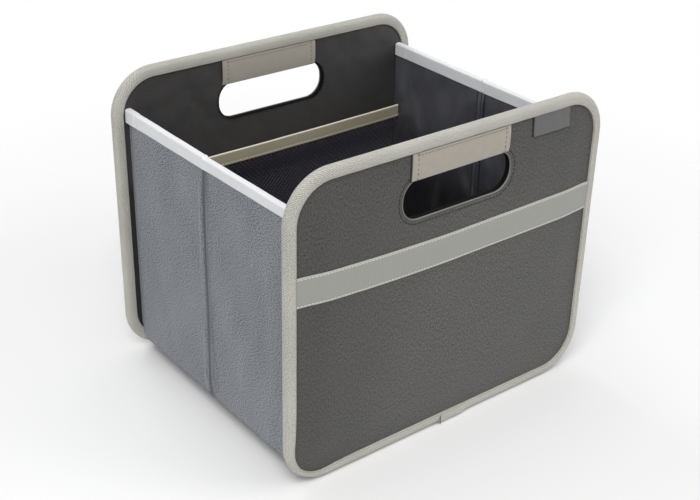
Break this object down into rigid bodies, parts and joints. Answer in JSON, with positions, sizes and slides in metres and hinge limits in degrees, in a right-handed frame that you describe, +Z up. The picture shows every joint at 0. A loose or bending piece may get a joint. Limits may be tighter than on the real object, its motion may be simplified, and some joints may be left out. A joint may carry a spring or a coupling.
{
  "type": "folding storage box",
  "caption": "Open fabric storage box with two stiff end walls, hand slots, a mesh pocket and sides and floor that fold inwards so the walls close flat together.",
  "frame": {"origin": "centre of the open box's footprint, on the surface that it stands on", "axes": "+X along the walls, with the front wall facing -Y, the rear wall at +Y, and +Z up"},
  "size_m": [0.32, 0.255, 0.268],
  "materials": {
    "board": "stiff plastic board, satin",
    "outer_fabric": "woven polyester, dark warm grey",
    "side_fabric": "woven polyester, blue grey",
    "lining": "coated lining cloth, nearly black",
    "binding": "twill binding tape, cream grey",
    "tape": "smooth folded tape, nearly white",
    "grip": "microfibre, beige grey",
    "band": "ribbed webbing, light grey",
    "label": "woven cloth, mid grey",
    "net": "fine black net",
    "pocket_trim": "woven tape, khaki"
  },
  "bodies": {
    "rear_wall": {"rear_board": "board", "rear_cover": "outer_fabric", "rear_lining": "lining", "rear_binding": "binding", "rear_grip_wrap": "grip", "mesh_pocket": "net", "pocket_trim": "pocket_trim", "left_rear_web": "side_fabric", "right_rear_web": "side_fabric"},
    "left_rear_panel": {"left_rear_board": "board", "left_rear_cover": "side_fabric", "left_rear_lining": "lining", "left_rear_tape": "tape"},
    "left_front_panel": {"left_front_board": "board", "left_front_cover": "side_fabric", "left_front_lining": "lining", "left_front_tape": "tape"},
    "right_rear_panel": {"right_rear_board": "board", "right_rear_cover": "side_fabric", "right_rear_lining": "lining", "right_rear_tape": "tape"},
    "right_front_panel": {"right_front_board": "board", "right_front_cover": "side_fabric", "right_front_lining": "lining", "right_front_tape": "tape"},
    "front_wall": {"front_board": "board", "front_cover": "outer_fabric", "front_lining": "lining", "front_binding": "binding", "front_grip_wrap": "grip", "front_band": "band", "front_label": "label", "left_front_web": "side_fabric", "right_front_web": "side_fabric"},
    "floor_rear_leaf": {"floor_rear_board": "board", "floor_rear_cover": "outer_fabric", "floor_rear_lining": "lining", "gusset_left_rear": "lining", "gusset_right_rear": "lining"},
    "floor_front_leaf": {"floor_front_board": "board", "floor_front_cover": "outer_fabric", "floor_front_lining": "lining", "gusset_left_front": "lining", "gusset_right_front": "lining"}
  },
  "joints": [
    {"name": "left_rear_fold", "type": "hinge", "parent": "rear_wall", "child": "left_rear_panel", "pos_m": [-0.1435, 0.1124, 0.1285], "axis": [0, 0, 1], "range_deg": [0, 90]},
    {"name": "left_mid_fold", "type": "hinge", "parent": "left_rear_panel", "child": "left_front_panel", "pos_m": [-0.1498, 0, 0.1285], "axis": [0, 0, 1], "range_deg": [-180, 0]},
    {"name": "left_front_fold", "type": "hinge", "parent": "left_front_panel", "child": "front_wall", "pos_m": [-0.1435, -0.1124, 0.1285], "axis": [0, 0, 1], "range_deg": [0, 90]},
    {"name": "right_rear_fold", "type": "hinge", "parent": "rear_wall", "child": "right_rear_panel", "pos_m": [0.1435, 0.1124, 0.1285], "axis": [0, 0, 1], "range_deg": [-90, 0]},
    {"name": "right_mid_fold", "type": "hinge", "parent": "right_rear_panel", "child": "right_front_panel", "pos_m": [0.1498, 0, 0.1285], "axis": [0, 0, 1], "range_deg": [0, 180]},
    {"name": "floor_rear_fold", "type": "hinge", "parent": "rear_wall", "child": "floor_rear_leaf", "pos_m": [0, 0.1188, 0.023], "axis": [-1, 0, 0], "range_deg": [0, 90], "deforming": ["gusset_left_rear", "gusset_right_rear"]},
    {"name": "floor_front_fold", "type": "hinge", "parent": "front_wall", "child": "floor_front_leaf", "pos_m": [0, -0.1188, 0.023], "axis": [1, 0, 0], "range_deg": [0, 90], "deforming": ["gusset_left_front", "gusset_right_front"]}
  ],
  "couplings": [
    {"joint": "left_mid_fold", "follows": "left_rear_fold", "ratio": -2},
    {"joint": "left_front_fold", "follows": "left_rear_fold", "ratio": 1},
    {"joint": "right_rear_fold", "follows": "left_rear_fold", "ratio": -1},
    {"joint": "right_mid_fold", "follows": "left_rear_fold", "ratio": 2},
    {"joint": "floor_rear_fold", "follows": "left_rear_fold", "ratio": 1},
    {"joint": "floor_front_fold", "follows": "left_rear_fold", "ratio": 1}
  ]
}
